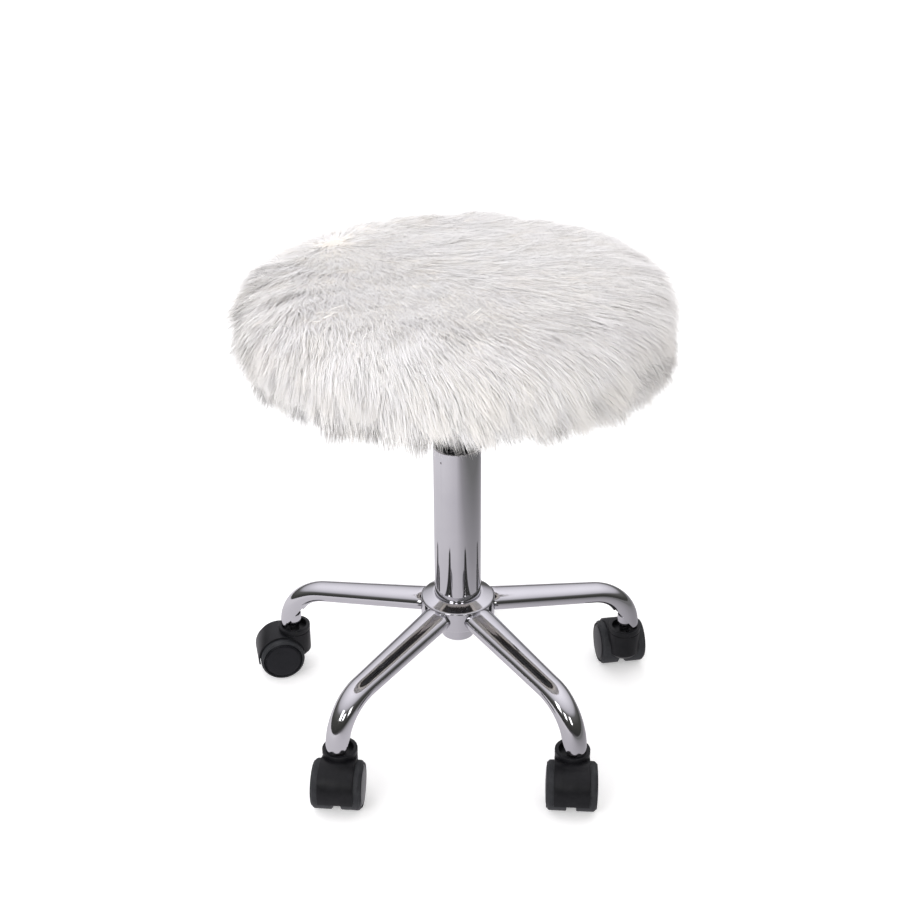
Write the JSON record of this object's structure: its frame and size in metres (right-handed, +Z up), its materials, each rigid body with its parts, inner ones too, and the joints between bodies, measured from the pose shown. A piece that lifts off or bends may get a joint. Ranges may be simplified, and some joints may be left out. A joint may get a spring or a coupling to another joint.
{
  "type": "rolling stylist stool",
  "caption": "Round fur-covered seat on a gas-lift column with a tubular chrome star base and swivelling twin-wheel castors.",
  "frame": {"origin": "on the column's axis at floor level, where the castors' treads touch", "axes": "+Z up along the column; -Y is the side the two front arms straddle; +X to the right seen from there"},
  "size_m": [0.4574, 0.4337, 0.514],
  "materials": {
    "chrome": "mirror-bright chrome plating",
    "steel": "plain turned steel",
    "cylinder_steel": "ground and lightly oiled steel",
    "black_steel": "black powder coat",
    "castor_plastic": "satin moulded nylon",
    "bush_plastic": "plain moulded acetal",
    "tread": "soft charcoal tread",
    "plywood": "unfinished plywood",
    "foam": "open-cell foam",
    "fur": "long-pile white faux fur"
  },
  "bodies": {
    "base": {"hub_shell": "chrome", "hub_socket": "chrome", "column_tube": "chrome", "guide_bush": "bush_plastic", "thrust_bearing": "steel", "retaining_clip": "steel", "arm_1": "chrome", "stem_sleeve_1": "chrome", "castor_1_stem": "steel", "arm_2": "chrome", "stem_sleeve_2": "chrome", "castor_2_stem": "steel", "arm_3": "chrome", "stem_sleeve_3": "chrome", "castor_3_stem": "steel", "arm_4": "chrome", "stem_sleeve_4": "chrome", "castor_4_stem": "steel", "arm_5": "chrome", "stem_sleeve_5": "chrome", "castor_5_stem": "steel"},
    "lift": {"piston_rod": "steel"},
    "seat": {"gas_cylinder": "cylinder_steel", "seat_plate": "black_steel", "seat_board": "plywood", "seat_foam": "foam", "fur_cover": "fur"},
    "valve": {"valve_button": "bush_plastic"},
    "height_lever": {"lever": "black_steel", "lever_grip": "castor_plastic"},
    "castor_1": {"castor_1_housing": "castor_plastic", "castor_1_axle": "steel"},
    "wheel_1_left": {"castor_1_wheel_left": "castor_plastic", "castor_1_tread_left": "tread"},
    "wheel_1_right": {"castor_1_wheel_right": "castor_plastic", "castor_1_tread_right": "tread"},
    "castor_2": {"castor_2_housing": "castor_plastic", "castor_2_axle": "steel"},
    "wheel_2_left": {"castor_2_wheel_left": "castor_plastic", "castor_2_tread_left": "tread"},
    "wheel_2_right": {"castor_2_wheel_right": "castor_plastic", "castor_2_tread_right": "tread"},
    "castor_3": {"castor_3_housing": "castor_plastic", "castor_3_axle": "steel"},
    "wheel_3_left": {"castor_3_wheel_left": "castor_plastic", "castor_3_tread_left": "tread"},
    "wheel_3_right": {"castor_3_wheel_right": "castor_plastic", "castor_3_tread_right": "tread"},
    "castor_4": {"castor_4_housing": "castor_plastic", "castor_4_axle": "steel"},
    "wheel_4_left": {"castor_4_wheel_left": "castor_plastic", "castor_4_tread_left": "tread"},
    "wheel_4_right": {"castor_4_wheel_right": "castor_plastic", "castor_4_tread_right": "tread"},
    "castor_5": {"castor_5_housing": "castor_plastic", "castor_5_axle": "steel"},
    "wheel_5_left": {"castor_5_wheel_left": "castor_plastic", "castor_5_tread_left": "tread"},
    "wheel_5_right": {"castor_5_wheel_right": "castor_plastic", "castor_5_tread_right": "tread"}
  },
  "joints": [
    {"name": "seat_swivel", "type": "hinge", "parent": "base", "child": "lift", "pos_m": [0, 0, 0.2], "axis": [0, 0, 1], "continuous": true},
    {"name": "height", "type": "slide", "parent": "lift", "child": "seat", "axis": [0, 0, 1], "range_m": [-0.06, 0.06]},
    {"name": "lever_pull", "type": "hinge", "parent": "seat", "child": "height_lever", "pos_m": [0.012, 0.02079, 0.439], "axis": [0.866, -0.5, 0], "range_deg": [0, 5.6], "stiffness_Nm_per_rad": 2, "springref_deg": -5.73},
    {"name": "valve_press", "type": "slide", "parent": "seat", "child": "valve", "axis": [0, 0, -1], "range_m": [0, 0.0024]},
    {"name": "castor_1_swivel", "type": "hinge", "parent": "base", "child": "castor_1", "pos_m": [-0.10893, -0.16773, 0.05], "axis": [0, 0, 1], "continuous": true},
    {"name": "wheel_1_left_roll", "type": "hinge", "parent": "castor_1", "child": "wheel_1_left", "pos_m": [-0.10923, -0.18523, 0.025], "axis": [0.9998, -0.0175, 0], "continuous": true},
    {"name": "wheel_1_right_roll", "type": "hinge", "parent": "castor_1", "child": "wheel_1_right", "pos_m": [-0.10923, -0.18523, 0.025], "axis": [0.9998, -0.0175, 0], "continuous": true},
    {"name": "castor_2_swivel", "type": "hinge", "parent": "base", "child": "castor_2", "pos_m": [0.12586, -0.15543, 0.05], "axis": [0, 0, 1], "continuous": true},
    {"name": "wheel_2_left_roll", "type": "hinge", "parent": "castor_2", "child": "wheel_2_left", "pos_m": [0.12586, -0.17293, 0.025], "axis": [1, 0, 0], "continuous": true},
    {"name": "wheel_2_right_roll", "type": "hinge", "parent": "castor_2", "child": "wheel_2_right", "pos_m": [0.12586, -0.17293, 0.025], "axis": [1, 0, 0], "continuous": true},
    {"name": "castor_3_swivel", "type": "hinge", "parent": "base", "child": "castor_3", "pos_m": [0.18672, 0.07167, 0.05], "axis": [0, 0, 1], "continuous": true},
    {"name": "wheel_3_left_roll", "type": "hinge", "parent": "castor_3", "child": "wheel_3_left", "pos_m": [0.18278, 0.08872, 0.025], "axis": [-0.9744, -0.225, 0], "continuous": true},
    {"name": "wheel_3_right_roll", "type": "hinge", "parent": "castor_3", "child": "wheel_3_right", "pos_m": [0.18278, 0.08872, 0.025], "axis": [-0.9744, -0.225, 0], "continuous": true},
    {"name": "castor_4_swivel", "type": "hinge", "parent": "base", "child": "castor_4", "pos_m": [-0.01047, 0.19973, 0.05], "axis": [0, 0, 1], "continuous": true},
    {"name": "wheel_4_left_roll", "type": "hinge", "parent": "castor_4", "child": "wheel_4_left", "pos_m": [-0.01047, 0.18223, 0.025], "axis": [1, 0, 0], "continuous": true},
    {"name": "wheel_4_right_roll", "type": "hinge", "parent": "castor_4", "child": "wheel_4_right", "pos_m": [-0.01047, 0.18223, 0.025], "axis": [1, 0, 0], "continuous": true},
    {"name": "castor_5_swivel", "type": "hinge", "parent": "base", "child": "castor_5", "pos_m": [-0.19318, 0.05176, 0.05], "axis": [0, 0, 1], "continuous": true},
    {"name": "wheel_5_left_roll", "type": "hinge", "parent": "castor_5", "child": "wheel_5_left", "pos_m": [-0.20992, 0.04665, 0.025], "axis": [0.2924, -0.9563, 0], "continuous": true},
    {"name": "wheel_5_right_roll", "type": "hinge", "parent": "castor_5", "child": "wheel_5_right", "pos_m": [-0.20992, 0.04665, 0.025], "axis": [0.2924, -0.9563, 0], "continuous": true}
  ],
  "couplings": [
    {"joint": "valve_press", "follows": "lever_pull", "m_per_rad": 0.024}
  ]
}
